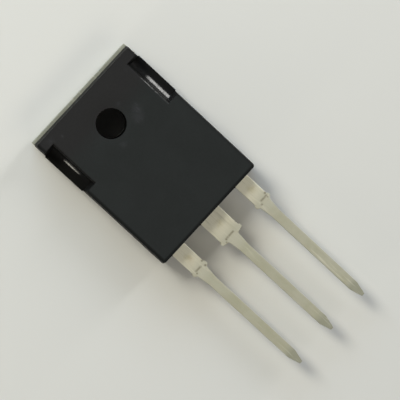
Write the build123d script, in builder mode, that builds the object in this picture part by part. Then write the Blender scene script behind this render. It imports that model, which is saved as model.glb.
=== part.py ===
from build123d import *
from math import cos, pi, radians, sin, tan
import os

# Dual Schottky diode in a flat three-lead power package.
# All lengths are in millimetres.
# The origin is the centre of the screw hole on the mounting (back) face.
# +X runs across the package, +Y towards the tab end, +Z out of the front face.

# --- Driving dimensions: moulded case ---
package_width = 15.9        # across the case at its parting line
package_length = 21.0       # tab end to lead end
package_height = 5.0        # mounting face to front face
hole_to_tab_end = 5.2       # screw hole centre to the end of the bare tab
draft_angle = 5.0           # degrees, on every moulded wall
corner_radius = 0.25        # upright corners of the case
edge_chamfer = 0.12         # softened rim of the front face
bore_diameter = 3.6         # screw hole
bore_chamfer = 0.15         # lead-in at the front mouth of the screw hole

# --- Driving dimensions: side notches ---
notch_length = 5.9          # along the case, at the ledge
notch_depth = 1.55          # into the case, where its wall turns upright
ledge_width = 0.5           # flat ledge left at the foot of each notch
ledge_reach = 0.12          # the ledge stands this far outside the case wall
notch_end_draft = 8.0       # degrees, on the two end walls of a notch
notch_wall_draft = 2.5      # degrees, on the upright wall above the scoop
notch_corner_radius = 0.45  # where the end walls meet the scooped wall
scoop_facets = 3            # flat steps that follow the quarter-round scoop

# --- Driving dimensions: heat spreader ---
tab_thickness = 2.0
tab_lip = 0.4               # bare tab beyond the case at the tab end
lip_side_inset = 0.05       # bare lip back from each side of the case
pad_side_wall = 1.15        # moulded wall beside the bare back face
pad_to_lead_end = 4.2       # moulded strip behind the bare back face
flange_reach = 0.5          # buried flange that locks the spreader in the case
flange_depth = 0.8          # thickness of that flange
tab_hole_diameter = 7.2     # mouth of the spreader's hole in the back face
tab_hole_ledge = 0.5        # step inside that hole, which locks the epoxy ring
groove_width = 0.5          # V-groove between the screw hole and the dies
groove_depth = 0.2
groove_to_hole = 0.7        # groove centre to the edge of the spreader's hole

# --- Driving dimensions: leads ---
lead_pitch = 5.45
lead_width = 1.2
lead_thickness = 0.6
lead_length = 20.0          # lead end of the case to the tips
lead_lift = 0.4             # underside of the leads above the front of the tab
outer_shoulder_width = 2.0
middle_shoulder_width = 3.0
shoulder_length = 3.7       # full-width part outside the case
neck_width = 1.6            # where the funnel behind the shoulder starts
neck_length = 1.7           # funnel from the neck width to the lead width
step_length = 0.2           # slope from the shoulder to the neck
stub_length = 0.45          # sheared remains of the bar that tied the leads
stub_reach = 0.15
tip_taper = 1.6
tip_width = 0.4
tip_thickness = 0.3
lead_rise_length = 1.4      # slope that lifts the middle lead off the tab
lead_root_length = 0.3      # flat start of the middle lead, before its slope

# --- Driving dimensions: inner bond pads of the outer leads ---
bond_pad_depth = 2.2        # along the lead
bond_pad_inset = 1.0        # from the lead end of the case to the bond pad
bond_pad_gap = 1.5          # from the middle lead to the bond pad
bond_pad_wall = 0.95        # from the bond pad to the side of the case
anchor_diameter = 0.9       # hole in which the epoxy grips each outer lead

# --- Driving dimensions: dies and wires ---
die_size = 3.8
die_thickness = 0.3
die_to_pad_side = 1.3       # die edge to the side of the bare back face
die_to_pad_end = 2.6        # die edge to the end of the bare back face
solder_thickness = 0.06
solder_margin = 0.15        # solder showing round each die
wire_diameter = 0.38
wire_spacing = 1.2          # between the two wires of one die
wire_foot_length = 0.9      # flattened bond at each end of a wire
wire_foot_width = 0.55
wire_foot_height = 0.3
wire_loop_height = 0.75     # loop centre line above the outer leads
wire_loop_slope = 1.0       # run over which the loop climbs or falls
wire_bend_radius = 0.4

# --- Positions that follow from the driving dimensions ---
half_width = package_width / 2
tab_end_y = hole_to_tab_end
lead_end_y = hole_to_tab_end - package_length
foot_y = tab_end_y - tab_lip
pad_end_y = lead_end_y + pad_to_lead_end
tip_y = lead_end_y - lead_length
flange_bottom = tab_thickness - flange_depth
lip_width = package_width - 2 * lip_side_inset
pad_width = package_width - 2 * pad_side_wall
flange_width = pad_width + 2 * flange_reach
lead_bottom = tab_thickness + lead_lift
lead_top = lead_bottom + lead_thickness
lead_middle = lead_bottom + lead_thickness / 2
parting_height = lead_bottom
upper_height = package_height - parting_height
draft_slope = tan(radians(draft_angle))
upper_draft = upper_height * draft_slope
lower_draft = parting_height * draft_slope
tab_hole_radius = tab_hole_diameter / 2
groove_y = -tab_hole_radius - groove_to_hole
bond_pad_outer_y = lead_end_y + bond_pad_inset
bond_pad_inner_y = bond_pad_outer_y + bond_pad_depth
bond_pad_y = (bond_pad_outer_y + bond_pad_inner_y) / 2
bond_pad_inner_x = middle_shoulder_width / 2 + bond_pad_gap
bond_pad_outer_x = half_width - bond_pad_wall
die_offset = pad_width / 2 - die_to_pad_side - die_size / 2
die_y = pad_end_y + die_to_pad_end + die_size / 2
solder_bottom = tab_thickness
die_bottom = solder_bottom + solder_thickness
die_top = die_bottom + die_thickness
wire_radius = wire_diameter / 2
wire_middle_x = (bond_pad_inner_x + die_offset + die_size / 2) / 2
wire_die_y = die_y
wire_pad_y = bond_pad_y

sides = {"left": -1, "right": 1}
wire_rows = {"inner": -1, "outer": 1}

os.makedirs("parts", exist_ok=True)


def is_upright(edge):
    """Whether an edge runs more up than along, drafted edges included."""
    return abs(edge.tangent_at(0.5).Z) > 0.5


def save(builder, node):
    """Label a finished piece and write it to its own STEP file."""
    builder.part.label = node
    export_step(builder.part, f"parts/{node}.step")


def lead_plan(centre_x, shoulder_width, start_y):
    """Front view of one lead, from start_y in the case out to the tip."""
    shoulder = shoulder_width / 2
    shoulder_end_y = lead_end_y - shoulder_length
    neck_start_y = shoulder_end_y - step_length
    neck_end_y = neck_start_y - neck_length
    right_side = [
        (shoulder, start_y),
        (shoulder, shoulder_end_y + stub_length),
        (shoulder + stub_reach, shoulder_end_y + stub_length),
        (shoulder + stub_reach, shoulder_end_y),
        (neck_width / 2, neck_start_y),
        (lead_width / 2, neck_end_y),
        (lead_width / 2, tip_y + tip_taper),
        (tip_width / 2, tip_y),
    ]
    left_side = [(-x, y) for x, y in reversed(right_side)]
    with BuildSketch() as plan:
        with BuildLine():
            Polyline(*[(centre_x + x, y) for x, y in right_side + left_side], close=True)
        make_face()
    return plan.sketch


def level_lead_side(start_y):
    """Side view of a level lead from start_y, its tip coined thinner from both faces."""
    tip_half = tip_thickness / 2
    with BuildSketch() as side_view:
        with BuildLine():
            Polyline(
                (start_y, lead_bottom),
                (tip_y + tip_taper, lead_bottom),
                (tip_y, lead_middle - tip_half),
                (tip_y, lead_middle + tip_half),
                (tip_y + tip_taper, lead_top),
                (start_y, lead_top),
                close=True,
            )
        make_face()
    return side_view.sketch


# --- Middle lead: the part of the spreader's stamping that becomes the cathode lead ---
rise_start_y = pad_end_y - lead_root_length
rise_end_y = rise_start_y - lead_rise_length

with BuildPart() as middle_lead:
    with BuildSketch(Plane.XY):
        add(lead_plan(0, middle_shoulder_width, pad_end_y))
    extrude(amount=package_height)
    # Seen from the side it leaves the top of the tab and slopes up to the level of the outer leads.
    with BuildSketch(Plane.YZ):
        add(level_lead_side(rise_end_y))
        with BuildLine():
            Polyline(
                (pad_end_y, tab_thickness - lead_thickness),
                (rise_start_y, tab_thickness - lead_thickness),
                (rise_end_y, lead_bottom),
                (rise_end_y, lead_top),
                (rise_start_y, tab_thickness),
                (pad_end_y, tab_thickness),
                close=True,
            )
        make_face()
    extrude(amount=package_width, both=True, mode=Mode.INTERSECT)

# --- Heat spreader: thick copper tab with its lock flange, bare lip and the middle lead ---
with BuildPart() as heat_spreader:
    with BuildSketch(Plane.XY):
        with Locations((0, (foot_y + pad_end_y) / 2)):
            Rectangle(pad_width, foot_y - pad_end_y)
    extrude(amount=tab_thickness)
    with BuildSketch(Plane.XY.offset(flange_bottom)):
        with Locations((0, (foot_y + pad_end_y) / 2)):
            Rectangle(flange_width, foot_y - pad_end_y)
    extrude(amount=flange_depth)
    with BuildSketch(Plane.XY):
        with Locations((0, (tab_end_y + foot_y) / 2)):
            Rectangle(lip_width, tab_lip)
    extrude(amount=tab_thickness)
    with Locations(Plane.XY.rotated((180, 0, 0))):
        CounterBoreHole(
            radius=tab_hole_radius - tab_hole_ledge,
            counter_bore_radius=tab_hole_radius,
            counter_bore_depth=flange_bottom,
            depth=tab_thickness,
        )
    # V-groove across the front of the tab.
    with BuildSketch(Plane.YZ):
        with BuildLine():
            Polyline(
                (groove_y - groove_width / 2, tab_thickness),
                (groove_y + groove_width / 2, tab_thickness),
                (groove_y, tab_thickness - groove_depth),
                close=True,
            )
        make_face()
    extrude(amount=flange_width, both=True, mode=Mode.SUBTRACT)
    add(middle_lead.part)
save(heat_spreader, "heat_spreader")


def build_anode_lead(side):
    """Outer lead with its bond pad inside the case and a hole that anchors it."""
    centre_x = side * lead_pitch
    bond_pad_x = side * (bond_pad_inner_x + bond_pad_outer_x) / 2
    with BuildPart() as anode_lead:
        with BuildSketch(Plane.XY):
            add(lead_plan(centre_x, outer_shoulder_width, bond_pad_outer_y))
            with Locations((bond_pad_x, bond_pad_y)):
                Rectangle(bond_pad_outer_x - bond_pad_inner_x, bond_pad_depth)
            with Locations((centre_x, bond_pad_outer_y)):
                Circle(anchor_diameter / 2, mode=Mode.SUBTRACT)
        extrude(amount=package_height)
        with BuildSketch(Plane.YZ):
            add(level_lead_side(bond_pad_inner_y))
        extrude(amount=package_width, both=True, mode=Mode.INTERSECT)
    return anode_lead


def build_die(side):
    """Square silicon die on its solder."""
    with BuildPart() as die:
        with BuildSketch(Plane.XY.offset(die_bottom)):
            with Locations((side * die_offset, die_y)):
                Rectangle(die_size, die_size)
        extrude(amount=die_thickness)
    return die


def build_solder(side):
    """Thin solder layer between a die and the tab, a little larger than the die."""
    with BuildPart() as solder:
        with BuildSketch(Plane.XY.offset(solder_bottom)):
            with Locations((side * die_offset, die_y)):
                Rectangle(die_size + 2 * solder_margin, die_size + 2 * solder_margin)
        extrude(amount=solder_thickness)
    return solder


def build_wire(side, row):
    """Aluminium wire that loops from the top of a die down to a bond pad."""
    wire_x = side * (wire_middle_x + row * wire_spacing / 2)
    half_foot = wire_foot_length / 2
    loop_z = lead_top + wire_loop_height
    with BuildPart() as wire:
        with BuildLine(Plane.YZ.offset(wire_x)) as loop:
            FilletPolyline(
                (wire_die_y, die_top + wire_radius),
                (wire_die_y - half_foot, die_top + wire_radius),
                (wire_die_y - half_foot - wire_loop_slope, loop_z),
                (wire_pad_y + half_foot + wire_loop_slope, loop_z),
                (wire_pad_y + half_foot, lead_top + wire_radius),
                (wire_pad_y, lead_top + wire_radius),
                radius=wire_bend_radius,
            )
        # An eight-sided section stands for the round one.
        with BuildSketch(Plane(origin=loop.line @ 0, z_dir=loop.line % 0)):
            RegularPolygon(wire_radius, side_count=8, major_radius=False, rotation=22.5)
        sweep()
        # Both ends are pressed flat by the bonding tool.
        for bond_y, seat_z in ((wire_die_y, die_top), (wire_pad_y, lead_top)):
            with BuildSketch(Plane.XY.offset(seat_z)):
                with Locations((wire_x, bond_y)):
                    Rectangle(wire_foot_width, wire_foot_length)
            extrude(amount=wire_foot_height)
    return wire


sealed = [heat_spreader]
for side_name, side in sides.items():
    anode_lead = build_anode_lead(side)
    save(anode_lead, f"anode_lead_{side_name}")
    die = build_die(side)
    save(die, f"diode_die_{side_name}")
    solder = build_solder(side)
    save(solder, f"die_solder_{side_name}")
    sealed += [anode_lead, die, solder]
    for row_name, row in wire_rows.items():
        wire = build_wire(side, row)
        save(wire, f"bond_wire_{side_name}_{row_name}")
        sealed.append(wire)

# --- Side notches: a quarter-round scoop between a flat ledge and an upright wall, one in each long side ---
ledge_x = half_width - ledge_width
scoop_radius = notch_depth - ledge_width
notch_height = upper_height + edge_chamfer
wall_lean = (notch_height - scoop_radius) * tan(radians(notch_wall_draft))
scoop_turns = [pi / 2 * facet / scoop_facets for facet in range(scoop_facets + 1)]
notch_levels = [
    (scoop_radius * (1 - cos(turn)), ledge_width + scoop_radius * sin(turn))
    for turn in scoop_turns
]
notch_levels.append((notch_height, notch_depth + wall_lean))

with BuildPart() as notch_tool:
    for rise, depth in notch_levels:
        length = notch_length + 2 * rise * tan(radians(notch_end_draft))
        with BuildSketch(Plane.XY.offset(parting_height + rise)):
            with Locations((half_width, 0)):
                RectangleRounded(2 * depth, length, notch_corner_radius)
    loft(ruled=True)
    mirror(about=Plane.YZ)

# --- Case: epoxy moulded round everything above, open at the bare back face, lip and leads ---
with BuildPart() as case:
    with BuildSketch(Plane.YZ):
        with BuildLine():
            Polyline(
                (foot_y, 0),
                (foot_y, tab_thickness),
                (foot_y - (package_height - tab_thickness) * draft_slope, package_height),
                (lead_end_y + upper_draft, package_height),
                (lead_end_y, parting_height),
                (lead_end_y + lower_draft, 0),
                close=True,
            )
        make_face()
    extrude(amount=package_width, both=True)
    with BuildSketch(Plane.XZ):
        with BuildLine():
            Polyline(
                (half_width - lower_draft, 0),
                (half_width, parting_height),
                (half_width - upper_draft, package_height),
                (upper_draft - half_width, package_height),
                (-half_width, parting_height),
                (lower_draft - half_width, 0),
                close=True,
            )
        make_face()
    extrude(amount=package_length, both=True, mode=Mode.INTERSECT)
    # The corners are rounded, but for the two below the parting line that meet the bare lip.
    corners = case.edges().filter_by(is_upright)
    rounded = corners.filter_by(lambda e: e.center().Z > parting_height or e.center().Y < 0)
    fillet(rounded, radius=corner_radius)
    chamfer(case.faces().sort_by(Axis.Z)[-1].edges(), length=edge_chamfer)
    # Ledge under each notch, standing slightly outside the wall.
    with BuildSketch(Plane.XZ):
        for side in sides.values():
            with BuildLine():
                Polyline(
                    (side * ledge_x, 0),
                    (side * (half_width - lower_draft), 0),
                    (side * (half_width + ledge_reach), parting_height),
                    (side * ledge_x, parting_height),
                    close=True,
                )
            make_face()
    extrude(amount=notch_length / 2, both=True)
    add(notch_tool.part, mode=Mode.SUBTRACT)
    with Locations((0, 0, package_height)):
        Hole(radius=bore_diameter / 2)
    bore_rim = case.edges().filter_by(GeomType.CIRCLE).group_by(Axis.Z)[-1]
    chamfer(bore_rim.sort_by(Axis.X)[-1], length=bore_chamfer)
    for piece in sealed:
        add(piece.part, mode=Mode.SUBTRACT)
save(case, "case")
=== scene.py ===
from math import atan2, cos, pi, radians, sin, tan

import bmesh
import bpy
from bpy.props import FloatProperty, FloatVectorProperty, IntProperty, PointerProperty
from bpy.types import Operator, Panel, PropertyGroup
from mathutils import Matrix, Vector


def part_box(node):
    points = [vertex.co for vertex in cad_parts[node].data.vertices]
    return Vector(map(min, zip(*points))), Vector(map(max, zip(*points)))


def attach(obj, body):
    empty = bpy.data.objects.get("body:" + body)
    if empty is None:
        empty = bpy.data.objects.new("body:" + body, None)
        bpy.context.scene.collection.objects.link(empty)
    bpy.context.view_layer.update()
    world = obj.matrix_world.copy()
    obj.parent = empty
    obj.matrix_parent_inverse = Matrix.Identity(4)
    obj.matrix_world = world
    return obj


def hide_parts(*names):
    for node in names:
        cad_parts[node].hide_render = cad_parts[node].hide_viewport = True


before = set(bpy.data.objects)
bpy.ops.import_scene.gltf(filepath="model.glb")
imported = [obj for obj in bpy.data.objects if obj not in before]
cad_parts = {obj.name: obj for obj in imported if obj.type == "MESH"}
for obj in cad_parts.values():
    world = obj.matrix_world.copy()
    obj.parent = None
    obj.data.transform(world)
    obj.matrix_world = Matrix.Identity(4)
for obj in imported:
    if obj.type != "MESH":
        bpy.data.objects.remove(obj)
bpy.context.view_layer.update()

bl_info = {
    "name": "Three-lead power diode",
    "version": (1, 0, 0),
    "blender": (4, 5, 0),
    "location": "3D View > Sidebar > Diode",
    "description": "Dresses the moulded dual diode with its epoxy case, copper spreader and tinned leads",
    "category": "Object",
}

MM = 0.001
CASE_LOW, CASE_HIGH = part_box("case")
SPREADER_LOW, SPREADER_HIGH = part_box("heat_spreader")
LEAD_LOW, LEAD_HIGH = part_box("anode_lead_right")

# Places closer together than these count as one: exactly, and after some shaping.
SAME = 1e-7
ALMOST = 1e-6
X, Y, Z = range(3)

# Least angles of an edge that is shaded sharp, of a case corner, of a case rim and of a stamped edge.
CREASE = radians(32)
CORNER = radians(30)
RIM = radians(50)
STAMPED = radians(35)

# Half sides of the square cells that hold the case's screw hole, the tab's hole and a lead's anchor hole.
CASE_CELL = 4.2 * MM
TAB_CELL = 3.9 * MM
ANCHOR_CELL = 0.6 * MM

# The copper is rolled this far into the case, and a band of colour runs this far past a piece's end.
BURIED = 0.5 * MM
BEYOND = 1 * MM

# Beads of resin flash: radius, stretch along each axis, and offset from a lead's edge at the parting line.
BEAD_RADIUS = 0.16 * MM
BEAD_STRETCH = (1.0, 0.95, 1.5)
BEAD_OFFSET = Vector((-0.03, 0.03, 0.25)) * MM

# Rubbed spots of the front face, in millimetres: x, y, radius, softness and raggedness.
RUBBED_SPOTS = (
    (2.65, -1.8, 1.1, 0.5, 1.0),
    (3.3, -1.0, 1.0, 0.4, 1.0),
    (2.3, 0.9, 0.6, 0.4, 1.0),
    (-0.8, -2.7, 0.75, 0.4, 1.0),
    (-6.3, 3.7, 0.8, 0.7, 1.4),
    (5.7, 3.0, 0.5, 0.4, 1.2),
    (-4.9, 3.1, 0.32, 0.14, 0.3),
)

# Polished parts of the scoops: low x, high x and soft edge.
RIGHT_SCOOP = (5.9 * MM, 7.25 * MM, 0.08 * MM)
RIGHT_RIM = (5.8 * MM, 6.38 * MM, 0.03 * MM)
LEFT_FOOT = (-6.9 * MM, -6.4 * MM, 0.03 * MM)

# Oval lamps: bearing and height in degrees, distance, size in metres, colour and the setting of its power.
LAMPS = {
    "ceiling_lamp": (-1, 41, 0.42, (0.154, 0.19), (1.0, 0.97, 0.83), "ceiling_power"),
    "window": (25, 25, 0.8, (0.9, 0.3), (0.60, 0.78, 1.0), "window_power"),
    "back_lamp": (180, 50, 0.7, (0.7, 0.24), (1.0, 0.95, 0.75), "back_power"),
    "left_lamp": (-88, 17, 0.5, (0.05, 0.24), (1.0, 0.95, 0.82), "left_power"),
    "right_lamp": (91, 25, 0.5, (0.07, 0.40), (1.0, 0.99, 0.96), "right_power"),
}
FLOOR_REACH = 0.6  # half a side, in metres


def length_prop(name, description, default):
    """A length in metres for the sidebar."""
    return FloatProperty(name=name, description=description, default=default, unit="LENGTH", precision=5)


def angle_prop(name, description, degrees):
    """An angle for the sidebar."""
    return FloatProperty(name=name, description=description, default=radians(degrees), unit="ROTATION")


def power_prop(name, description, default):
    """The power of a lamp for the sidebar."""
    return FloatProperty(name=name, description=description, default=default, unit="POWER")


def colour_prop(name, description, default):
    """A colour for the sidebar."""
    return FloatVectorProperty(
        name=name, description=description, default=default, size=3, min=0, max=1, subtype="COLOR"
    )


class DiodeCaseSettings(PropertyGroup):
    """Sizes of the moulded epoxy case."""

    width: length_prop("Width", "Across the case at the parting line", 15.9 * MM)
    draft: angle_prop("Draft", "Lean of every moulded wall", 5)
    corner_radius: length_prop("Corner radius", "Upright corners of the case", 0.25 * MM)
    rim_radius: length_prop("Rim radius", "Worn moulded edges", 0.2 * MM)
    scoop_rim: length_prop("Scoop rim", "Softer edge where a scoop meets the front face", 0.3 * MM)
    bore_radius: length_prop("Bore radius", "Screw hole", 1.8 * MM)
    bore_chamfer: length_prop("Bore chamfer", "Lead-in of the screw hole", 0.15 * MM)
    notch_length: length_prop("Notch length", "Along the case, at the ledge", 5.9 * MM)
    notch_depth: length_prop("Notch depth", "Into the case, at the front face", 1.55 * MM)
    notch_end_draft: angle_prop("Notch end draft", "Lean of the notch's end walls", 8)
    notch_corner: length_prop("Notch corner", "Radius between scoop and end walls", 0.6 * MM)
    ledge_width: length_prop("Ledge width", "Flat at the foot of each notch", 0.5 * MM)
    back_wall: length_prop("Back wall", "Epoxy beside the bare copper on the back", 1.15 * MM)
    back_strip: length_prop("Back strip", "Epoxy between the bare copper and the lead end", 4.2 * MM)
    ring_radius: length_prop("Ring radius", "Epoxy ring round the screw hole on the back", 3.6 * MM)
    scoop_steps: IntProperty(name="Scoop steps", description="Facets of each scooped foot", default=14, min=3)


class DiodeMetalSettings(PropertyGroup):
    """Sizes of the copper spreader and the stamped leads."""

    pitch: length_prop("Pitch", "Between neighbouring leads", 5.45 * MM)
    lead_width: length_prop("Lead width", "Slender part of a lead", 1.2 * MM)
    lead_thickness: length_prop("Lead thickness", "Sheet that the leads are stamped from", 0.6 * MM)
    outer_shoulder: length_prop("Outer shoulder", "Wide part of an outer lead", 2.0 * MM)
    middle_shoulder: length_prop("Middle shoulder", "Wide part of the middle lead", 3.0 * MM)
    shoulder_length: length_prop("Shoulder length", "Wide part outside the case", 3.7 * MM)
    neck_width: length_prop("Neck width", "Where the funnel behind the shoulder starts", 1.6 * MM)
    neck_length: length_prop("Neck length", "Funnel down to the slender part", 1.7 * MM)
    tip_taper: length_prop("Tip taper", "Pointed end of a lead", 1.6 * MM)
    tip_width: length_prop("Tip width", "Blunt end of the point", 0.4 * MM)
    tip_thickness: length_prop("Tip thickness", "Coined end of the point", 0.3 * MM)
    stub_length: length_prop("Stub length", "Sheared remains of the tie bar", 0.45 * MM)
    stub_reach: length_prop("Stub reach", "How far the remains stand out", 0.15 * MM)
    edge_radius: length_prop("Edge radius", "Rolled edges of the stampings", 0.07 * MM)
    pad_thickness: length_prop("Pad thickness", "Copper spreader", 2.0 * MM)
    flange_depth: length_prop("Flange depth", "Buried flange of the spreader", 0.8 * MM)
    flange_reach: length_prop("Flange reach", "Width of that flange", 0.5 * MM)
    lip: length_prop("Lip", "Bare copper beyond the case", 0.4 * MM)
    anchor_hole: length_prop("Anchor hole", "Hole in which the epoxy grips an outer lead", 0.9 * MM)


class DiodeFinishSettings(PropertyGroup):
    """Colours of the finishes."""

    epoxy: colour_prop("Epoxy", "Filled black moulding compound", (0.0139, 0.0157, 0.0159))
    epoxy_handled: colour_prop("Handled epoxy", "Warmer face near the tab end", (0.0154, 0.0144, 0.0150))
    # Darker than the front face, partly for the smoother moulded skin and partly as painted shade in walls,
    # ledges and bore; also the painted shade along three front edges
    epoxy_walls_and_shade: colour_prop("Epoxy walls", "Moulded walls, ledges and bore", (0.0012, 0.0013, 0.0013))
    epoxy_worn: colour_prop("Rubbed epoxy", "Where the compound is scuffed", (0.040, 0.040, 0.046))
    tin: colour_prop("Tin", "Dull tin plating", (0.49, 0.475, 0.39))
    # Bright tin: painted light near the case, where the case's shade falls, and the brighter random streaks
    bright_tin_and_painted_light: colour_prop("Fresh tin", "Brighter plating near the case", (0.90, 0.87, 0.73))
    tin_aged: colour_prop("Aged tin", "Yellowed, duller plating", (0.375, 0.36, 0.26))
    tin_yellow: colour_prop("Yellow tin", "Yellow patches on the shoulders", (0.62, 0.56, 0.32))
    tin_lip: colour_prop("Lip", "Sheared edge of the tab, dull and grey", (0.24, 0.245, 0.20))
    tin_rubbed: colour_prop("Rubbed tin", "Copper showing warm through thin plating", (0.50, 0.36, 0.22))
    copper_edge: colour_prop("Cut edge", "Sheared edge, greyer than the face", (0.40, 0.40, 0.35))
    # Darker colour in and beside the pressed marks
    mark_darkening: colour_prop("Residue", "Dark residue in the pressed marks", (0.19, 0.17, 0.12))


class DiodeStageSettings(PropertyGroup):
    """Floor, lamps and camera."""

    floor: colour_prop("Floor", "Pale paper under the part", (0.627, 0.622, 0.609))
    view_distance: length_prop("View distance", "Camera to the point it looks at", 200 * MM)
    focal_length: FloatProperty(
        name="Focal length", description="Of the camera, in millimetres", default=151.2, unit="CAMERA"
    )
    aim_x: length_prop("Aim X", "Point that the camera looks at", 0.58 * MM)
    aim_y: length_prop("Aim Y", "Point that the camera looks at", -14.08 * MM)
    tilt_x: angle_prop("Tilt X", "Camera leaning towards +X", -1.0)
    tilt_y: angle_prop("Tilt Y", "Camera leaning towards +Y", 6.0)
    roll: angle_prop("Roll", "Part turned on the picture", 47.2)
    ceiling_power: power_prop("Ceiling lamp", "Warm lamp above the tab end", 1.26)
    window_power: power_prop("Window", "Wide cool light beyond the tab end", 3.8)
    back_power: power_prop("Back lamp", "Wide weak lamp above the leads", 0.92)
    left_power: power_prop("Left lamp", "Small low lamp on the left side", 0.30)
    right_power: power_prop("Right lamp", "Small lamp on the right side", 0.98)
    room_light: FloatProperty(
        name="Room light", description="Strength of the even light from all round", default=0.18, min=0
    )


# ---------------------------------------------------------------- mesh tools


def faces_where(bm, test):
    """Faces whose middle passes the test."""
    return [f for f in bm.faces if test(f.calc_center_median())]


def middle(edge):
    """Middle of an edge."""
    return (edge.verts[0].co + edge.verts[1].co) / 2


def lies_at(edge, axis, place):
    """Whether both ends of an edge lie at a place along an axis."""
    return all(abs(v.co[axis] - place) < SAME for v in edge.verts)


def new_verts(made):
    """The vertices among what an extrusion made."""
    return [g for g in made if isinstance(g, bmesh.types.BMVert)]


def cut_along(bm, axis, places, test=None):
    """Score lines at some places along an axis, across all faces or those whose middle passes the test."""
    normal = Vector((axis == X, axis == Y, 0))
    for place in places:
        faces = faces_where(bm, test) if test else bm.faces[:]
        edges = {e for f in faces for e in f.edges}
        verts = {v for f in faces for v in f.verts}
        geom = [*faces, *edges, *verts]
        bmesh.ops.bisect_plane(bm, geom=geom, dist=SAME / 10, plane_co=normal * place, plane_no=normal)


def sheet(bm, low_x, high_x, low_y, high_y, z):
    """One flat rectangle."""
    made = bmesh.ops.create_grid(bm, x_segments=1, y_segments=1, size=1.0)
    bmesh.ops.scale(bm, vec=((high_x - low_x) / 2, (high_y - low_y) / 2, 1), verts=made["verts"])
    bmesh.ops.translate(bm, vec=((high_x + low_x) / 2, (high_y + low_y) / 2, z), verts=made["verts"])


def raise_faces(bm, faces, rise, keep=False):
    """Extrude faces up or down and return the new end faces. A sheet keeps its old faces as its back."""
    made = bmesh.ops.extrude_face_region(bm, geom=faces)["geom"]
    if not keep:
        bmesh.ops.delete(bm, geom=[f for f in faces if f.is_valid], context="FACES")
    bmesh.ops.translate(bm, vec=(0, 0, rise), verts=new_verts(made))
    return [g for g in made if isinstance(g, bmesh.types.BMFace)]


def round_loop(verts, centre, radius):
    """Move the points of a square or round loop onto a circle, evenly spaced."""
    square = max(abs(v.co.x - centre.x) for v in verts)
    corner = max((v.co.xy - centre).length for v in verts)
    # The corners of a square stand 1.4 times as far out as the middles of its sides.
    already_round = corner < 1.2 * square
    for v in verts:
        x, y = v.co.x - centre.x, v.co.y - centre.y
        if already_round:
            angle = atan2(y, x)
        elif abs(x) >= abs(y):
            angle = (0 if x > 0 else pi) + pi / 4 * y / x
        else:
            angle = (pi / 2 if y > 0 else -pi / 2) - pi / 4 * x / y
        v.co.x = centre.x + radius * cos(angle)
        v.co.y = centre.y + radius * sin(angle)


def ring_in_square(bm, face, centre, radii, steps):
    """Turn a square face into rings of quads round an open hole, widest radius first."""
    bmesh.ops.subdivide_edges(bm, edges=list(face.edges), cuts=steps - 1)
    half = centre.x - min(v.co.x for v in face.verts)
    for radius in radii:
        bmesh.ops.inset_region(bm, faces=[face], thickness=half * 0.02, use_even_offset=True)
        round_loop(face.verts, centre, radius)
    bmesh.ops.delete(bm, geom=[face], context="FACES")


def bevel_edges(bm, edges, offset, segments):
    """Round some edges."""
    bmesh.ops.bevel(
        bm,
        geom=list(edges),
        offset=offset,
        offset_type="OFFSET",
        affect="EDGES",
        segments=segments,
        profile=0.5,
        material=-1,
        clamp_overlap=True,
    )


def sharp_convex(edge, least):
    """Whether an edge is an outer edge at least this sharp."""
    return len(edge.link_faces) == 2 and edge.is_convex and edge.calc_face_angle() > least


def finish_piece(name, bm, material, stands_for, lines=()):
    """Close a mesh, shade it with sharp creases and lines, and make it ride in place of its CAD nodes."""
    bmesh.ops.remove_doubles(bm, verts=bm.verts, dist=2 * SAME)
    bmesh.ops.recalc_face_normals(bm, faces=bm.faces)
    for edge in bm.edges:
        creased = len(edge.link_faces) == 2 and edge.calc_face_angle() > CREASE
        on_line = any(lies_at(edge, Z, z) for z in lines)
        edge.smooth = not (creased or on_line)
    for face in bm.faces:
        face.smooth = True
    mesh = bpy.data.meshes.new(name)
    bm.to_mesh(mesh)
    bm.free()
    mesh.materials.append(material)
    piece = bpy.data.objects.new(name, mesh)
    bpy.context.scene.collection.objects.link(piece)
    flat = piece.modifiers.new("flat_faces", "WEIGHTED_NORMAL")
    flat.keep_sharp = True
    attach(piece, "root")
    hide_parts(*stands_for)
    return piece


# ---------------------------------------------------------------- material tools


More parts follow.
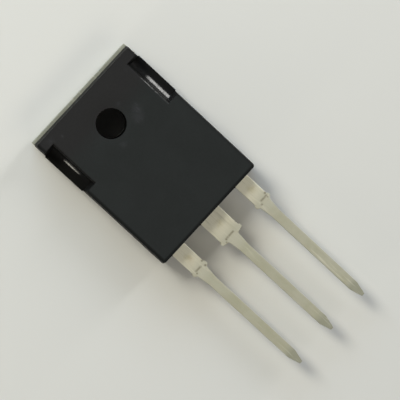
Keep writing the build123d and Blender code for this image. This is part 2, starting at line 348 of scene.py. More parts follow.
class Paint:
    """A procedural material under construction."""

    def __init__(self, name):
        self.material = bpy.data.materials.new(name)
        self.material.use_nodes = True
        self.tree = self.material.node_tree
        self.shader = self.tree.nodes["Principled BSDF"]
        self.place = self.add("ShaderNodeTexCoord").outputs["Object"]

    def add(self, kind, **settings):
        """A new node with some of its settings."""
        node = self.tree.nodes.new(kind)
        for key, value in settings.items():
            setattr(node, key, value)
        return node

    def link(self, source, target):
        """Join two sockets."""
        self.tree.links.new(source, target)

    def feed(self, node, values):
        """Link or set some inputs of a node."""
        for key, value in values.items():
            if isinstance(value, bpy.types.NodeSocket):
                self.link(value, node.inputs[key])
            else:
                node.inputs[key].default_value = value

    def stretched(self, scale):
        """The place on the part, scaled along each axis."""
        node = self.add("ShaderNodeMapping")
        self.feed(node, {"Vector": self.place, "Scale": scale})
        return node.outputs["Vector"]

    def noise(self, scale, detail, roughness, place=None, distortion=0):
        """Noise over the part, or over another place."""
        node = self.add("ShaderNodeTexNoise")
        grain = {"Scale": scale, "Detail": detail, "Roughness": roughness, "Distortion": distortion}
        self.feed(node, {"Vector": place or self.place, **grain})
        return node.outputs["Fac"]

    def math(self, operation, a, b, clamp=False):
        """One sum."""
        node = self.add("ShaderNodeMath", operation=operation, use_clamp=clamp)
        self.feed(node, {0: a, 1: b})
        return node.outputs["Value"]

    def times(self, factor, *others):
        """Product of several factors."""
        for other in others:
            factor = self.math("MULTIPLY", factor, other)
        return factor

    def step(self, value, low, high, to_low=0.0, to_high=1.0):
        """Smooth step from to_low below low to to_high above high."""
        node = self.add("ShaderNodeMapRange", interpolation_type="SMOOTHSTEP")
        limits = {"From Min": low, "From Max": high, "To Min": to_low, "To Max": to_high}
        self.feed(node, {"Value": value, **limits})
        return node.outputs["Result"]

    def mix(self, factor, a, b):
        """Colour a, turning into colour b as the factor grows."""
        node = self.add("ShaderNodeMix", data_type="RGBA")
        self.feed(node, {0: factor})
        for socket, value in ((node.inputs[6], a), (node.inputs[7], b)):
            if isinstance(value, bpy.types.NodeSocket):
                self.link(value, socket)
            else:
                socket.default_value = (*value, 1)
        return node.outputs[2]

    def spot(self, centre, radius, soft, ragged, raggedness):
        """1 within radius of a point and 0 outside, with a soft and ragged edge."""
        node = self.add("ShaderNodeVectorMath", operation="DISTANCE")
        self.feed(node, {0: self.place, 1: centre})
        distance = self.math("ADD", node.outputs["Value"], self.times(ragged, raggedness))
        return self.step(distance, radius - soft, radius + soft, 1.0, 0.0)

    def along(self, axis):
        """The place along one axis."""
        split = self.tree.nodes.get("split") or self.add("ShaderNodeSeparateXYZ", name="split")
        self.link(self.place, split.inputs["Vector"])
        return split.outputs[axis]

    def band(self, axis, low, high, soft):
        """1 between two places along an axis, with soft ends."""
        value = self.along(axis)
        rise = self.step(value, low - soft, low + soft)
        fall = self.step(value, high - soft, high + soft, 1.0, 0.0)
        return self.times(rise, fall)

    def most(self, factor, *others):
        """The largest of several factors."""
        for other in others:
            factor = self.math("MAXIMUM", factor, other)
        return factor

    def inverse(self, factor):
        """1 where the factor is 0, and 0 where it is 1."""
        return self.math("SUBTRACT", 1.0, factor)

    def finish(self, colour, rough, height, depth, strength):
        """Give the shader its colour, roughness and relief."""
        node = self.add("ShaderNodeBump")
        self.feed(node, {"Height": height, "Distance": depth, "Strength": strength})
        relief = node.outputs["Normal"]
        self.feed(self.shader, {"Base Color": colour, "Roughness": rough, "Normal": relief})
        return self.material


def epoxy_paint(finish):
    """Black epoxy: matte grained front with rubbed marks, walls darker partly as painted shade, painted shade
    on three edges, polished scoops.
    """
    paint = Paint("moulded_epoxy")
    grain = paint.noise(14000, 4, 0.6)
    filler = paint.noise(4500, 3, 0.55)
    flow = paint.noise(260, 4, 0.6, distortion=0.4)
    ragged = paint.noise(1400, 4, 0.7)
    scratches = paint.step(paint.noise(1, 2, 0.5, paint.stretched((9000, 1100, 9000)), 0.3), 0.60, 0.72)
    spots = [
        paint.spot((x * MM, y * MM, CASE_HIGH.z), radius * MM, soft * MM, ragged, raggedness * MM)
        for x, y, radius, soft, raggedness in RUBBED_SPOTS
    ]
    rubbed = paint.times(paint.most(*spots), paint.math("ADD", scratches, 0.35))
    front = paint.band("Z", CASE_HIGH.z - 0.06 * MM, CASE_HIGH.z + BEYOND, 0.05 * MM)

    # The front face is warmer towards the tab end, and its filler shows where it is rubbed.
    handled = paint.math("ADD", paint.along("Y"), paint.times(ragged, 2.5 * MM))
    handled = paint.times(paint.step(handled, 0.2 * MM, 3.2 * MM), 0.8)
    colour = paint.mix(paint.step(flow, 0.35, 0.7), finish.epoxy, [c * 1.12 for c in finish.epoxy])
    colour = paint.mix(handled, colour, finish.epoxy_handled)
    colour = paint.mix(paint.step(grain, 0.55, 0.8, 0.0, 0.15), colour, finish.epoxy_worn)
    colour = paint.mix(paint.times(rubbed, 0.8), colour, finish.epoxy_worn)

    # The walls are darker, partly for their smoother skin and partly as painted shade, and painted shade
    # darkens the front face along three of its edges, whose rounded rims face away from the main light.
    lead_edge_shade = paint.band("Y", CASE_LOW.y - BEYOND, CASE_LOW.y + 0.55 * MM, 0.10 * MM)
    left_edge_shade = paint.band("X", CASE_LOW.x - BEYOND, CASE_LOW.x + 0.68 * MM, 0.10 * MM)
    right_edge_shade = paint.band("X", CASE_HIGH.x - 0.6 * MM, CASE_HIGH.x + BEYOND, 0.10 * MM)
    edges = paint.most(lead_edge_shade, left_edge_shade, paint.times(right_edge_shade, 0.3))
    colour = paint.mix(front, finish.epoxy_walls_and_shade, colour)
    colour = paint.mix(paint.times(edges, 0.85), colour, finish.epoxy_walls_and_shade)

    # The scoops are polished in uneven streaks, which fade along the case.
    wander = paint.times(paint.math("SUBTRACT", flow, 0.5), 2 * MM)
    along = paint.math("ADD", paint.along("Y"), wander)
    right_scoop = paint.times(paint.band("X", *RIGHT_SCOOP), paint.step(along, 0.4 * MM, 1.2 * MM, 1.0, 0.0))
    left_start = paint.step(along, -1.6 * MM, -0.8 * MM)
    left_end = paint.step(along, 0.6 * MM, 1.2 * MM, 1.0, 0.0)
    left_foot = paint.times(paint.band("X", *LEFT_FOOT), left_start, left_end)
    within = paint.band("Y", -3.5 * MM, 3.5 * MM, 0.05 * MM)
    inside = paint.inverse(paint.band("Z", CASE_HIGH.z - 0.007 * MM, CASE_HIGH.z + BEYOND, 0.004 * MM))
    uneven = paint.step(paint.noise(2300, 3, 0.6), 0.35, 0.65, 0.55, 1.0)
    uneven = paint.math("SUBTRACT", uneven, paint.times(paint.band("X", *RIGHT_RIM), 0.45), clamp=True)
    polished = paint.times(paint.most(right_scoop, left_foot), within, inside, uneven)
    paint.feed(
        paint.shader,
        {"Coat Weight": polished, "Coat Roughness": 0.17, "Specular IOR Level": 0.16},
    )

    matte = paint.math("ADD", paint.step(filler, 0.3, 0.7, 0.68, 0.78), paint.times(rubbed, -0.08))
    wall = paint.step(filler, 0.3, 0.7, 0.60, 0.74)
    rough = paint.math("ADD", wall, paint.times(front, paint.math("SUBTRACT", matte, wall)))
    height = paint.math("ADD", paint.times(grain, 0.6), paint.times(filler, 0.4))
    height = paint.times(height, paint.math("ADD", paint.times(front, 0.7), 0.3))
    return paint.finish(colour, rough, height, 0.010 * MM, 0.6)


def tie_bar_marks(metal):
    """Middle x, y and half length of the pressed line across each shoulder."""
    y = CASE_LOW.y - 3.35 * MM
    return (
        (metal.pitch + 0.35 * MM, y, 0.55 * MM),
        (-0.05 * MM, y, 0.62 * MM),
        (-metal.pitch - 0.1 * MM, y, 0.5 * MM),
    )


def darkened_spots(metal):
    """Place and radius of the dark dots beside the pressed lines, y from the case."""
    outer_end = metal.outer_shoulder / 2 - 0.12 * MM
    middle_end = metal.middle_shoulder / 2 - 0.75 * MM
    return (
        (metal.pitch + outer_end, -3.05 * MM, 0.24 * MM),
        (metal.pitch - 0.35 * MM, -3.7 * MM, 0.22 * MM),
        (metal.pitch + outer_end - 0.1 * MM, -3.6 * MM, 0.19 * MM),
        (-middle_end, -3.4 * MM, 0.24 * MM),
        (-middle_end - 0.25 * MM, -3.65 * MM, 0.19 * MM),
        (-metal.pitch + outer_end, -3.0 * MM, 0.21 * MM),
        (-metal.pitch + outer_end - 0.1 * MM, -3.65 * MM, 0.23 * MM),
        (-metal.pitch - 0.6 * MM, -3.6 * MM, 0.19 * MM),
    )


def tin_paint(finish, metal):
    """Dull tin on stamped copper: rolling grain, yellowed patches, painted light near the case, darker colour
    in and beside the marks.
    """
    paint = Paint("dull_tin")
    lead_end = CASE_LOW.y
    top = LEAD_HIGH.z
    rolling = paint.noise(1, 4, 0.6, paint.stretched((7000, 350, 7000)), 0.2)
    crystals = paint.noise(5200, 4, 0.65)
    streaks = paint.noise(1, 3, 0.6, paint.stretched((3200, 190, 3200)), 0.3)
    cloud = paint.noise(420, 3, 0.55, distortion=0.6)
    ragged = paint.noise(2600, 4, 0.7)
    lip = paint.band("Y", CASE_HIGH.y - 0.1 * MM, SPREADER_HIGH.y + BEYOND, 0.05 * MM)
    tips = paint.band("Y", SPREADER_LOW.y - BEYOND, SPREADER_LOW.y + 2.2 * MM, 0.6 * MM)
    slender = paint.band("Y", SPREADER_LOW.y - BEYOND, lead_end - metal.shoulder_length - 1 * MM, 0.8 * MM)
    # Painted light: a band next to the case that lifts the shoulders out of the case's shade
    painted_light_near_case = paint.band("Y", lead_end - 2.4 * MM, lead_end + BEYOND, 1.1 * MM)

    # Painted light brightens the tin near the case, where the case's shade falls; the tin is duller along the
    # slender parts and dullest at the points.
    colour = paint.mix(painted_light_near_case, finish.tin, finish.bright_tin_and_painted_light)
    aged_tips = paint.times(tips, paint.step(cloud, 0.25, 0.75, 0.7, 1.0))
    aged_length = paint.times(slender, paint.step(cloud, 0.3, 0.7, 0.35, 0.8))
    aged = paint.times(paint.most(aged_tips, aged_length), paint.inverse(paint.times(painted_light_near_case, 0.7)))
    colour = paint.mix(aged, colour, finish.tin_aged)
    patches = [
        paint.spot((x + 0.1 * MM, lead_end - 1.5 * MM, top), 0.75 * MM, 0.7 * MM, ragged, 1.2 * MM)
        for x in (-metal.pitch, 0, metal.pitch)
    ]
    yellow = paint.times(paint.most(*patches), paint.step(cloud, 0.25, 0.7, 0.5, 0.9))
    colour = paint.mix(yellow, colour, finish.tin_yellow)
    sheared = paint.times(paint.most(lip, paint.times(tips, 0.6)), 0.9)
    colour = paint.mix(sheared, colour, finish.tin_lip)
    colour = paint.mix(paint.step(rolling, 0.45, 0.8, 0.0, 0.22), colour, finish.copper_edge)
    colour = paint.mix(paint.step(streaks, 0.55, 0.8, 0.0, 0.4), colour, finish.tin_aged)
    colour = paint.mix(paint.step(streaks, 0.42, 0.25, 0.0, 0.3), colour, finish.bright_tin_and_painted_light)
    rubbed = paint.spot((-metal.pitch, lead_end - 2.0 * MM, top), 0.8 * MM, 0.7 * MM, ragged, 1.6 * MM)
    colour = paint.mix(paint.times(rubbed, 0.35), colour, finish.tin_rubbed)

    # The pressed lines and the spots beside them are painted darker.
    marks = []
    for x, y, reach in tie_bar_marks(metal):
        across = paint.band("X", x - reach, x + reach, 0.10 * MM)
        line = paint.band("Y", y - 0.12 * MM, y + 0.12 * MM, 0.10 * MM)
        marks.append(paint.times(across, line, 0.75))
    for x, y, radius in darkened_spots(metal):
        marks.append(paint.spot((x, lead_end + y, top), radius, 0.11 * MM, ragged, 0.2 * MM))
    mark_darkening = paint.times(paint.most(*marks), paint.step(ragged, 0.3, 0.55, 0.35, 1.0))
    colour = paint.mix(mark_darkening, colour, finish.mark_darkening)

    paint.feed(paint.shader, {"Metallic": 0.3})
    rough = paint.math("ADD", paint.step(crystals, 0.3, 0.7, 0.46, 0.58), paint.times(mark_darkening, 0.2))
    height = paint.math("ADD", paint.times(rolling, 0.6), paint.times(crystals, 0.4))
    return paint.finish(colour, rough, height, 0.012 * MM, 0.5)


def plain_metal_paint(name, colour, dark, rough, grain_scale):
    """Inner metal or silicon with a fine grain."""
    paint = Paint(name)
    grain = paint.noise(grain_scale, 4, 0.6)
    cloud = paint.noise(grain_scale / 12, 3, 0.5)
    shade = paint.mix(paint.step(cloud, 0.35, 0.7), colour, dark)
    shade = paint.mix(paint.step(grain, 0.5, 0.8, 0.0, 0.4), shade, dark)
    paint.feed(paint.shader, {"Metallic": 1.0})
    return paint.finish(shade, paint.step(grain, 0.3, 0.7, rough, rough + 0.15), grain, 0.004 * MM, 0.4)


def paper_paint(stage):
    """Pale floor with a hint of fibre."""
    paint = Paint("pale_paper")
    fibre = paint.noise(900, 4, 0.6)
    wash = paint.noise(14, 2, 0.4)
    colour = paint.mix(paint.step(wash, 0.3, 0.7), stage.floor, [c * 0.985 for c in stage.floor])
    paint.feed(paint.shader, {"Specular IOR Level": 0.1})
    return paint.finish(colour, 0.9, fibre, 0.01 * MM, 0.15)


# ---------------------------------------------------------------- pieces


def scoop_levels(case, height):
    """Heights above the ledge and depths into the case of a quarter-round foot, a wall and a rolled rim."""
    radius = case.notch_depth - case.ledge_width
    turns = [pi / 2 * step / case.scoop_steps for step in range(1, case.scoop_steps + 1)]
    foot = [(radius * (1 - cos(turn)), case.ledge_width + radius * sin(turn)) for turn in turns]
    wall_top = height - case.scoop_rim
    depth = case.notch_depth + (wall_top - radius) * tan(case.draft / 2)
    rim_steps = 8
    rolls = [pi / 2 * step / rim_steps for step in range(rim_steps + 1)]
    roll = case.scoop_rim
    return foot + [(wall_top + roll * sin(turn), depth + roll * (1 - cos(turn))) for turn in rolls]


class DIODE_OT_case(Operator):
    """Mould the epoxy case with its drafted walls, scooped notches, ledges and screw hole"""

    bl_idname = "diode.case"
    bl_label = "Epoxy case"

    def execute(self, context):
        case = context.scene.diode_case
        metal = context.scene.diode_metal
        half = case.width / 2
        foot_y = CASE_HIGH.y
        lead_end_y = CASE_LOW.y
        top_z = CASE_HIGH.z
        floor_z = metal.pad_thickness - metal.flange_depth
        tab_z = metal.pad_thickness
        parting_z = LEAD_LOW.z
        pad_x = half - case.back_wall
        pad_y = lead_end_y + case.back_strip
        notch = case.notch_length / 2

        def over_pad(point):
            return abs(point.x) < pad_x and point.y > pad_y

        bm = bmesh.new()
        sheet(bm, -half, half, lead_end_y, foot_y, floor_z)
        cut_along(bm, X, (-pad_x, pad_x))
        cut_along(bm, Y, (-notch, notch), lambda c: abs(c.x) > pad_x)
        cut_along(bm, Y, (pad_y,))
        cut_along(bm, Y, (-CASE_CELL, CASE_CELL), over_pad)
        cut_along(bm, X, (-CASE_CELL, CASE_CELL), lambda c: abs(c.x) < pad_x and abs(c.y) < CASE_CELL)
        cell = faces_where(bm, lambda c: c.xy.length < CASE_CELL / 4)[0]
        ring_in_square(bm, cell, Vector((0, 0)), (case.ring_radius, case.bore_radius), 16)

        # The walls rise past the tab and the parting line to the front face, and the notches stay open.
        layer = raise_faces(bm, bm.faces[:], tab_z - floor_z, keep=True)
        layer = raise_faces(bm, layer, parting_z - tab_z)

        def in_notch(point):
            return abs(point.x) > pad_x and abs(point.y) < notch

        layer = [f for f in layer if not in_notch(f.calc_center_median())]
        scoop = scoop_levels(case, top_z - parting_z)
        for (below, _), (level, _) in zip([(0, 0)] + scoop, scoop):
            layer = raise_faces(bm, layer, level - below)

        # Below, the epoxy frames the bare copper and stands as a ring round the screw hole.
        def frame_below(point):
            under_copper = over_pad(point) and point.xy.length > case.ring_radius
            return abs(point.z - floor_z) < SAME and not under_copper

        raise_faces(bm, faces_where(bm, frame_below), -floor_z)
        bmesh.ops.recalc_face_normals(bm, faces=bm.faces)

        # Every level of a notch wall moves in to its place on the scoop, and the moulded walls lean back.
        draft = tan(case.draft)
        levels = [(0, case.ledge_width)] + scoop
        for v in bm.verts:
            x, y, z = v.co
            on_notch = abs(abs(x) - pad_x) < SAME and abs(y) < notch + SAME and z > parting_z - SAME
            on_notch_end = abs(x) > pad_x - SAME and abs(abs(y) - notch) < SAME and z > parting_z + SAME
            if on_notch:
                level = min(levels, key=lambda level: abs(level[0] + parting_z - z))
                v.co.x = (half - level[1]) * (1 if x > 0 else -1)
            if on_notch_end:
                rise = (z - parting_z) * tan(case.notch_end_draft)
                v.co.y = (notch + rise) * (1 if y > 0 else -1)
            if abs(abs(x) - half) < SAME:
                v.co.x = (half - abs(z - parting_z) * draft) * (1 if x > 0 else -1)
            if abs(y - lead_end_y) < SAME:
                v.co.y = lead_end_y + abs(z - parting_z) * draft
            if abs(y - foot_y) < SAME and z > tab_z:
                v.co.y = foot_y - (z - tab_z) * draft

        # Ledge: the lower wall swells outwards to the parting line under each notch.
        reach = CASE_HIGH.x - half
        drafted = 0.4 * MM
        for side in (-1, 1):
            wall = [
                f
                for f in bm.faces
                if f.calc_center_median().x * side > half - drafted
                and f.normal.x * side > 0.9
                and abs(f.calc_center_median().y) < notch
                and f.calc_center_median().z < parting_z
            ]
            made = bmesh.ops.extrude_face_region(bm, geom=wall)["geom"]
            for v in new_verts(made):
                v.co.x += side * reach * v.co.z / parting_z
            bmesh.ops.delete(bm, geom=[f for f in wall if f.is_valid], context="FACES")
        bmesh.ops.remove_doubles(bm, verts=bm.verts, dist=SAME)
        bmesh.ops.recalc_face_normals(bm, faces=bm.faces)

        # The upright corners of the case and of the scoops are rounded first.
        def upright(edge):
            along = edge.verts[1].co - edge.verts[0].co
            return abs(along.z) > 0.7 * along.length

        end_zone = 0.5 * MM
        corners = []
        notch_corners = []
        for edge in bm.edges:
            mid = middle(edge)
            if len(edge.link_faces) != 2 or edge.calc_face_angle() < CORNER:
                continue
            outer = abs(mid.x) > half - case.ledge_width
            end = mid.y < lead_end_y + end_zone or (mid.y > foot_y - end_zone and mid.z > tab_z)
            if outer and end and upright(edge):
                corners.append(edge)
            elif mid.z > parting_z + SAME and not outer and abs(mid.x) > half / 2 and not edge.is_convex:
                if abs(edge.verts[0].co.y - edge.verts[1].co.y) < notch:
                    notch_corners.append(edge)
        bevel_edges(bm, corners, case.corner_radius, 5)
        bevel_edges(bm, [e for e in notch_corners if e.is_valid], case.notch_corner, 5)

        # Then the hole's mouth gets its lead-in, and the rims of the walls are rolled.
        inset = 0.1 * MM
        mouth = []
        rims = []
        for edge in bm.edges:
            mid = middle(edge)
            if not sharp_convex(edge, RIM):
                continue
            back_rim = mid.z < ALMOST and (abs(mid.x) > pad_x + inset or mid.y < pad_y - inset)
            if mid.z > top_z - ALMOST and mid.xy.length < 2 * case.bore_radius:
                mouth.append(edge)
            elif mid.z > parting_z - ALMOST or back_rim:
                rims.append(edge)
        bevel_edges(bm, mouth, case.bore_chamfer, 4)
        bevel_edges(bm, [e for e in rims if e.is_valid], case.rim_radius, 3)
        for v in bm.verts:
            v.co.z = min(v.co.z, top_z)

        # Beads of resin flash beside the leads, where the mould halves shut.
        outer_half = metal.outer_shoulder / 2
        for x in (-metal.pitch - outer_half, -metal.middle_shoulder / 2, metal.pitch - outer_half):
            bead = bmesh.ops.create_icosphere(bm, subdivisions=3, radius=BEAD_RADIUS)["verts"]
            bmesh.ops.scale(bm, vec=BEAD_STRETCH, verts=bead)
            bmesh.ops.translate(bm, vec=Vector((x, lead_end_y, parting_z)) + BEAD_OFFSET, verts=bead)
        epoxy = epoxy_paint(context.scene.diode_finish)
        finish_piece("epoxy_case", bm, epoxy, ["case"], lines=(parting_z,))
        return {"FINISHED"}


def lead_stations(metal, shoulder, start_y):
    """Places along a lead where its width changes: y and half width."""
    case_end = CASE_LOW.y
    shoulder_end = case_end - metal.shoulder_length
    stub_slope = 0.2 * MM
    neck_start = shoulder_end - stub_slope
    tip = SPREADER_LOW.y
    half = shoulder / 2
    return [
        (start_y, half),
        (shoulder_end + metal.stub_length, half),
        (shoulder_end + metal.stub_length, half + metal.stub_reach),
        (shoulder_end, half + metal.stub_reach),
        (neck_start, metal.neck_width / 2),
        (neck_start - metal.neck_length, metal.lead_width / 2),
        (tip + metal.tip_taper, metal.lead_width / 2),
        (tip, metal.tip_width / 2),
    ]


def grow_strip(bm, edge, centre_x, stations):
    """Extrude an edge along the lead through its stations."""
    for y, half in stations:
        made = bmesh.ops.extrude_edge_only(bm, edges=[edge])["geom"]
        ends = sorted(new_verts(made), key=lambda v: v.co.x)
        ends[0].co.x, ends[0].co.y = centre_x - half, y
        ends[1].co.x, ends[1].co.y = centre_x + half, y
        edge = [g for g in made if isinstance(g, bmesh.types.BMEdge) and set(g.verts) == set(ends)][0]


def coin_tip(bm, metal, bottom_z):
    """Thin the point of a lead from both faces."""
    start = SPREADER_LOW.y + metal.tip_taper
    centre_z = bottom_z + metal.lead_thickness / 2
    for v in bm.verts:
        if v.co.y < start - SAME:
            share = (start - v.co.y) / metal.tip_taper
            thin = 1 - share * (1 - metal.tip_thickness / metal.lead_thickness)
            v.co.z = centre_z + (v.co.z - centre_z) * thin


def press_mark(bm, x, y, reach, top_z):
    """A shallow pressed line across the front of a shoulder."""
    wide = 0.13 * MM
    deep = 0.035 * MM

    def near(c):
        return abs(c.z - top_z) < ALMOST and abs(c.x - x) < 2 * reach + 1 * MM and abs(c.y - y) < 3 * MM

    cut_along(bm, Y, (y - wide, y, y + wide), near)
    ends = (x - reach, x - reach + wide, x + reach - wide, x + reach)
    cut_along(bm, X, ends, lambda c: near(c) and abs(c.y - y) < wide)
    for v in bm.verts:
        if abs(v.co.y - y) < SAME and abs(v.co.x - x) < reach - wide / 2 and abs(v.co.z - top_z) < ALMOST:
            v.co.z -= deep


def round_stamping(bm, metal, shown):
    """Roll the outer edges whose middle passes the test."""
    bmesh.ops.recalc_face_normals(bm, faces=bm.faces)
    edges = [e for e in bm.edges if sharp_convex(e, STAMPED) and shown(middle(e))]
    bevel_edges(bm, edges, metal.edge_radius, 3)


class DIODE_OT_anode_leads(Operator):
    """Stamp the two outer leads with their bond pads, shoulders, tie-bar stubs and coined points"""

    bl_idname = "diode.anode_leads"
    bl_label = "Outer leads"

    def execute(self, context):
        metal = context.scene.diode_metal
        tin = tin_for(context)
        bottom = LEAD_LOW.z
        pad_length = 2.2 * MM
        half = metal.outer_shoulder / 2
        for name, side in (("left", -1), ("right", 1)):
            low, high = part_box(f"anode_lead_{name}")
            pad_end = high.y
            root_y = pad_end - pad_length
            x = side * metal.pitch
            bm = bmesh.new()
            sheet(bm, low.x, high.x, root_y, pad_end, bottom)
            cut_along(bm, X, (x - half, x + half))
            root_edges = [e for e in bm.edges if lies_at(e, Y, root_y)]
            start = min(root_edges, key=lambda e: abs(middle(e).x - x))
            stations = lead_stations(metal, metal.outer_shoulder, CASE_LOW.y)
            grow_strip(bm, start, x, [(root_y - ANCHOR_CELL, half)] + stations)

            # A hole through which the epoxy grips the lead, half in the bond pad and half in the root.
            sides = (x - ANCHOR_CELL, x + ANCHOR_CELL)
            cut_along(bm, X, sides, lambda c: abs(c.x - x) < half and c.y > root_y - ANCHOR_CELL)
            cut_along(bm, Y, (root_y + ANCHOR_CELL,), lambda c: abs(c.x - x) < ANCHOR_CELL and c.y > root_y)
            cell = faces_where(bm, lambda c: abs(c.x - x) < ANCHOR_CELL and abs(c.y - root_y) < ANCHOR_CELL)
            merged = bmesh.ops.dissolve_faces(bm, faces=cell, use_verts=True)["region"][0]
            spare = [v for v in merged.verts if abs(v.co.y - root_y) < SAME and len(v.link_edges) == 2]
            bmesh.ops.dissolve_verts(bm, verts=spare)
            centre = Vector((x, root_y))
            cell = faces_where(bm, lambda c: (c.xy - centre).length < ANCHOR_CELL / 4)[0]
            ring_in_square(bm, cell, centre, (metal.anchor_hole / 2,), 8)
            raise_faces(bm, bm.faces[:], metal.lead_thickness, keep=True)
            coin_tip(bm, metal, bottom)
            for mark_x, mark_y, reach in tie_bar_marks(metal):
                if abs(mark_x - x) < metal.pitch / 2:
                    press_mark(bm, mark_x, mark_y, reach, bottom + metal.lead_thickness)
            round_stamping(bm, metal, lambda mid: mid.y < CASE_LOW.y + BURIED)
            finish_piece(f"outer_lead_{name}", bm, tin, [f"anode_lead_{name}"])
        return {"FINISHED"}


class DIODE_OT_spreader(Operator):
    """Form the copper spreader with its lock flange, bare lip, screw hole and the middle lead"""

    bl_idname = "diode.spreader"
    bl_label = "Heat spreader"

    def execute(self, context):
        metal = context.scene.diode_metal
        case = context.scene.diode_case
        pad_x = case.width / 2 - case.back_wall
        pad_end = CASE_LOW.y + case.back_strip
        foot_y = CASE_HIGH.y
        flange_x = pad_x + metal.flange_reach
        flange_z = metal.pad_thickness - metal.flange_depth
        top_z = metal.pad_thickness
        groove_y = -case.ring_radius - 0.7 * MM
        half_groove = 0.25 * MM
        groove_depth = 0.2 * MM
        ring_step = 0.5 * MM
        seam = 0.002 * MM
        rise_start = pad_end - 0.3 * MM
        rise_end = rise_start - 1.4 * MM
        half = metal.middle_shoulder / 2
        bm = bmesh.new()
        sheet(bm, -flange_x, flange_x, pad_end, foot_y, flange_z)
        cut_along(bm, X, (-pad_x, pad_x))
        cut_along(bm, Y, (TAB_CELL, -TAB_CELL, groove_y + half_groove, groove_y, groove_y - half_groove))
        cut_along(bm, X, (-TAB_CELL, TAB_CELL), lambda c: abs(c.y) < TAB_CELL)
        cut_along(bm, X, (-half, half), lambda c: c.y < groove_y - half_groove)
        cell = faces_where(bm, lambda c: c.xy.length < TAB_CELL / 4)[0]
        ring_in_square(bm, cell, Vector((0, 0)), (case.ring_radius, case.ring_radius - ring_step), 16)

        # The bare lip runs beyond the case and stands out a little on both sides.
        made = bmesh.ops.extrude_edge_only(bm, edges=[e for e in bm.edges if lies_at(e, Y, foot_y)])["geom"]
        bmesh.ops.translate(bm, vec=(0, metal.lip, 0), verts=new_verts(made))
        for side in (-1, 1):
            ends = [e for e in bm.edges if lies_at(e, X, side * flange_x) and middle(e).y > foot_y]
            made = bmesh.ops.extrude_edge_only(bm, edges=ends)["geom"]
            out = (SPREADER_HIGH.x * side - flange_x * side, 0, 0)
            bmesh.ops.translate(bm, vec=out, verts=new_verts(made))

        # The middle lead grows from the tab and is bent up to the height of the outer leads.
        root_edges = [e for e in bm.edges if lies_at(e, Y, pad_end)]
        start = min(root_edges, key=lambda e: abs(middle(e).x))
        stations = lead_stations(metal, metal.middle_shoulder, rise_end)
        grow_strip(bm, start, 0, [(pad_end - seam, half), (rise_start, half)] + stations)
        raise_faces(bm, bm.faces[:], top_z - flange_z, keep=True)

        def bare_below(point):
            on_pad = abs(point.x) < pad_x and pad_end < point.y < foot_y
            bare = (on_pad and point.xy.length > case.ring_radius) or point.y > foot_y
            return abs(point.z - flange_z) < SAME and bare

        raise_faces(bm, faces_where(bm, bare_below), -flange_z)
        lift = LEAD_LOW.z - (top_z - metal.lead_thickness)
        for v in bm.verts:
            if v.co.y < pad_end - ALMOST:
                v.co.z = top_z - metal.lead_thickness if v.co.z < top_z - SAME else top_z
                v.co.z += lift * min(1, max(0, (rise_start - v.co.y) / (rise_start - rise_end)))
            if abs(v.co.y - groove_y) < SAME and v.co.z > top_z - SAME:
                v.co.z -= groove_depth
        coin_tip(bm, metal, LEAD_LOW.z)
        for mark_x, mark_y, reach in tie_bar_marks(metal):
            if abs(mark_x) < metal.pitch / 2:
                press_mark(bm, mark_x, mark_y, reach, LEAD_HIGH.z)
        round_stamping(bm, metal, lambda mid: mid.y < CASE_LOW.y + BURIED)
        round_stamping(bm, metal, lambda mid: mid.y > foot_y + metal.lip - ALMOST)
        finish_piece("copper_spreader", bm, tin_for(context), ["heat_spreader"])
        return {"FINISHED"}


def tin_for(context):
    """The one tin finish that the spreader and the leads share."""
    found = bpy.data.materials.get("dull_tin")
    return found or tin_paint(context.scene.diode_finish, context.scene.diode_metal)


class DIODE_OT_inner_pieces(Operator):
    """Give the sealed dies, solder and bond wires their finishes"""

    bl_idname = "diode.inner_pieces"
    bl_label = "Inner pieces"

    def execute(self, context):
        silicon = plain_metal_paint("metallised_silicon", (0.30, 0.31, 0.35), (0.16, 0.17, 0.20), 0.25, 9000)
        solder = plain_metal_paint("dull_solder", (0.46, 0.46, 0.46), (0.30, 0.30, 0.31), 0.45, 6000)
        wire = plain_metal_paint("drawn_aluminium", (0.78, 0.78, 0.79), (0.60, 0.60, 0.62), 0.25, 8000)
        paints = {"diode_die": silicon, "die_solder": solder, "bond_wire": wire}
        for node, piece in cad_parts.items():
            for kind, paint in paints.items():
                if node.startswith(kind):
                    piece.data.materials.clear()
                    piece.data.materials.append(paint)
        return {"FINISHED"}


def hang_lamp(name, bearing, height, distance, size, colour, power):
    """A soft oval lamp. Its bearing turns from the tab end towards +X, its height is above the floor."""
    light = bpy.data.lights.new(name, "AREA")
    light.shape = "ELLIPSE"
    light.size, light.size_y = size
    light.energy = power
    light.color = colour
    lamp = bpy.data.objects.new(name, light)
    level = cos(radians(height))
    way = Vector((sin(radians(bearing)) * level, cos(radians(bearing)) * level, sin(radians(height))))
    centre = Vector((0, (CASE_LOW.y + SPREADER_LOW.y) / 2, 0))
    lamp.location = centre + way * distance
    lamp.rotation_euler = way.to_track_quat("Z", "Y").to_euler()
    bpy.context.scene.collection.objects.link(lamp)


def dim_room(strength):
    """A dim even room that fades to a tenth straight overhead."""
    world = bpy.data.worlds.new("dim_room")
    world.use_nodes = True
    tree = world.node_tree
    background = tree.nodes["Background"]
    direction = tree.nodes.new("ShaderNodeTexCoord")
    split = tree.nodes.new("ShaderNodeSeparateXYZ")
    overhead = tree.nodes.new("ShaderNodeMapRange")
    overhead.interpolation_type = "SMOOTHSTEP"
    overhead.inputs["From Min"].default_value = 0.78
    overhead.inputs["From Max"].default_value = 0.94
    overhead.inputs["To Min"].default_value = strength
    overhead.inputs["To Max"].default_value = 0.1 * strength
    tree.links.new(direction.outputs["Generated"], split.inputs["Vector"])
    tree.links.new(split.outputs["Z"], overhead.inputs["Value"])
    tree.links.new(overhead.outputs["Result"], background.inputs["Strength"])
    background.inputs["Color"].default_value = (1.0, 0.99, 0.97, 1)
    return world


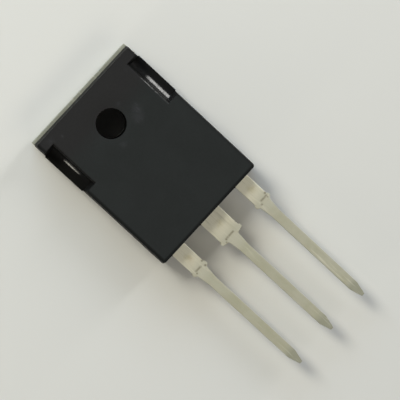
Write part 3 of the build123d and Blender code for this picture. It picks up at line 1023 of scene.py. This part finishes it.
class DIODE_OT_stage(Operator):
    """Lay the pale floor, hang the soft lamps and place the camera"""

    bl_idname = "diode.stage"
    bl_label = "Stage"

    def execute(self, context):
        stage = context.scene.diode_stage
        scene = context.scene
        bm = bmesh.new()
        sheet(bm, -FLOOR_REACH, FLOOR_REACH, -FLOOR_REACH, FLOOR_REACH, 0)
        mesh = bpy.data.meshes.new("floor")
        bm.to_mesh(mesh)
        bm.free()
        mesh.materials.append(paper_paint(stage))
        floor = bpy.data.objects.new("floor", mesh)
        scene.collection.objects.link(floor)

        for name, (*place, power) in LAMPS.items():
            hang_lamp(name, *place, getattr(stage, power))
        scene.world = dim_room(stage.room_light)

        scene.view_settings.view_transform = "Standard"
        camera = bpy.data.cameras.new("camera")
        camera.lens = stage.focal_length
        camera.sensor_width = 36
        camera.clip_start = 0.01
        camera.clip_end = 10
        eye = bpy.data.objects.new("camera", camera)
        scene.collection.objects.link(eye)
        back = Vector((tan(stage.tilt_x), tan(stage.tilt_y), 1)).normalized()
        along = Vector((0, 1, 0))
        along = (along - back * along.dot(back)).normalized()
        across = along.cross(back)
        up = along * cos(stage.roll) + across * sin(stage.roll)
        right = up.cross(back)
        turn = Matrix((right, up, back)).transposed()
        aim = Vector((stage.aim_x, stage.aim_y, 0))
        eye.matrix_world = Matrix.Translation(aim + back * stage.view_distance) @ turn.to_4x4()
        scene.camera = eye
        return {"FINISHED"}


class VIEW3D_PT_diode(Panel):
    """Lists the steps that dress the part."""

    bl_idname = "VIEW3D_PT_diode"
    bl_label = "Power diode"
    bl_space_type = "VIEW_3D"
    bl_region_type = "UI"
    bl_category = "Diode"

    def draw(self, context):
        for step in STEPS:
            self.layout.operator(step.bl_idname)


STEPS = (DIODE_OT_case, DIODE_OT_spreader, DIODE_OT_anode_leads, DIODE_OT_inner_pieces, DIODE_OT_stage)
SETTINGS = {
    "diode_case": DiodeCaseSettings,
    "diode_metal": DiodeMetalSettings,
    "diode_finish": DiodeFinishSettings,
    "diode_stage": DiodeStageSettings,
}


def register():
    for settings in SETTINGS.values():
        bpy.utils.register_class(settings)
    for step in STEPS:
        bpy.utils.register_class(step)
    bpy.utils.register_class(VIEW3D_PT_diode)
    for name, settings in SETTINGS.items():
        setattr(bpy.types.Scene, name, PointerProperty(type=settings))


def unregister():
    for name in SETTINGS:
        delattr(bpy.types.Scene, name)
    bpy.utils.unregister_class(VIEW3D_PT_diode)
    for step in reversed(STEPS):
        bpy.utils.unregister_class(step)
    for settings in reversed(SETTINGS.values()):
        bpy.utils.unregister_class(settings)


def main():
    register()
    bpy.ops.diode.case()
    bpy.ops.diode.spreader()
    bpy.ops.diode.anode_leads()
    bpy.ops.diode.inner_pieces()
    bpy.ops.diode.stage()


if __name__ == "__main__":
    main()
